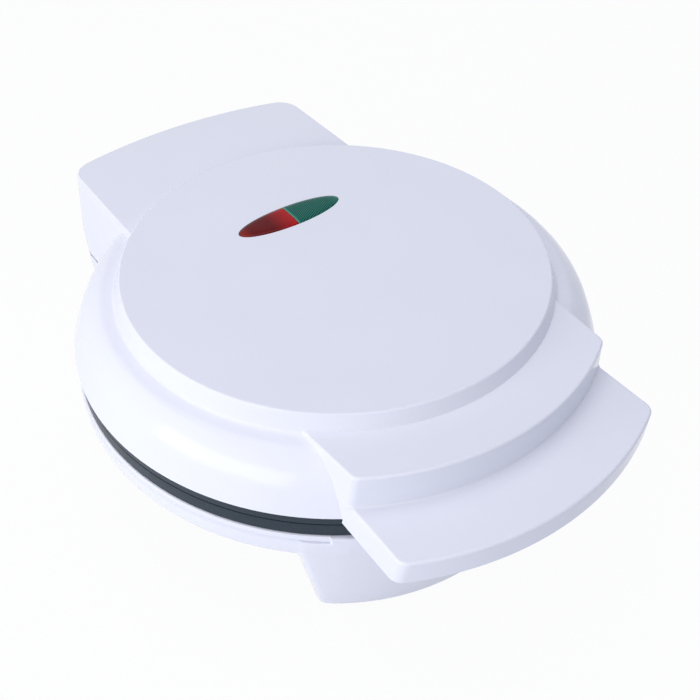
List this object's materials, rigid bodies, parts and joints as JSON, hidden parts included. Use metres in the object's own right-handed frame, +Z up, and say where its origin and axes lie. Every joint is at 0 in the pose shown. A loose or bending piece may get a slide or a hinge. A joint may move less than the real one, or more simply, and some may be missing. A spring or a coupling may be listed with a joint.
{
  "type": "round waffle maker",
  "caption": "Round countertop waffle maker with a stepped handle, a hinged lid with twin indicator lens, pegged waffle plates and a base on two legs.",
  "frame": {"origin": "centre of the whole length and width, on the table under the feet", "axes": "+Z up, -Y towards the handle, +Y towards the hinge, +X to the right seen from the handle"},
  "size_m": [0.2148, 0.2764, 0.1003],
  "materials": {
    "white_plastic": "glossy moulded",
    "dark_coating": "non-stick coated casting",
    "red_lens": "tinted clear, glossy",
    "green_lens": "tinted clear, glossy",
    "holder_plastic": "satin moulded",
    "lamp_glass": "clear",
    "element_steel": "oxidised sheath",
    "sheet_steel": "bright sheet",
    "screw_steel": "zinc plated",
    "black_rubber": "matte"
  },
  "bodies": {
    "base": {"base_shell": "white_plastic", "lower_plate": "dark_coating", "lower_heater": "element_steel", "lower_reflector": "sheet_steel", "hinge_pin": "screw_steel", "terminal_block": "holder_plastic", "cord_bush": "black_rubber", "rubber_foot_1": "black_rubber", "rubber_foot_2": "black_rubber", "rubber_foot_3": "black_rubber", "rubber_foot_4": "black_rubber", "lower_plate_screw_1": "screw_steel", "lower_plate_screw_2": "screw_steel", "lower_plate_screw_3": "screw_steel", "lower_plate_screw_4": "screw_steel"},
    "lid": {"lid_cover": "white_plastic", "handle_cover": "white_plastic", "power_lens": "red_lens", "ready_lens": "green_lens", "lamp_holder": "holder_plastic", "power_lamp": "lamp_glass", "ready_lamp": "lamp_glass", "upper_plate": "dark_coating", "upper_heater": "element_steel", "upper_reflector": "sheet_steel", "thermostat": "holder_plastic", "thermal_fuse": "sheet_steel", "upper_plate_screw_1": "screw_steel", "upper_plate_screw_2": "screw_steel", "upper_plate_screw_3": "screw_steel", "upper_plate_screw_4": "screw_steel", "handle_cover_screw_left": "screw_steel", "lamp_holder_screw_left": "screw_steel", "handle_cover_screw_right": "screw_steel", "lamp_holder_screw_right": "screw_steel"}
  },
  "joints": [
    {"name": "lid_hinge", "type": "hinge", "parent": "base", "child": "lid", "pos_m": [0, 0.13365, 0.0522], "axis": [-1, 0, 0], "range_deg": [0, 100]}
  ]
}
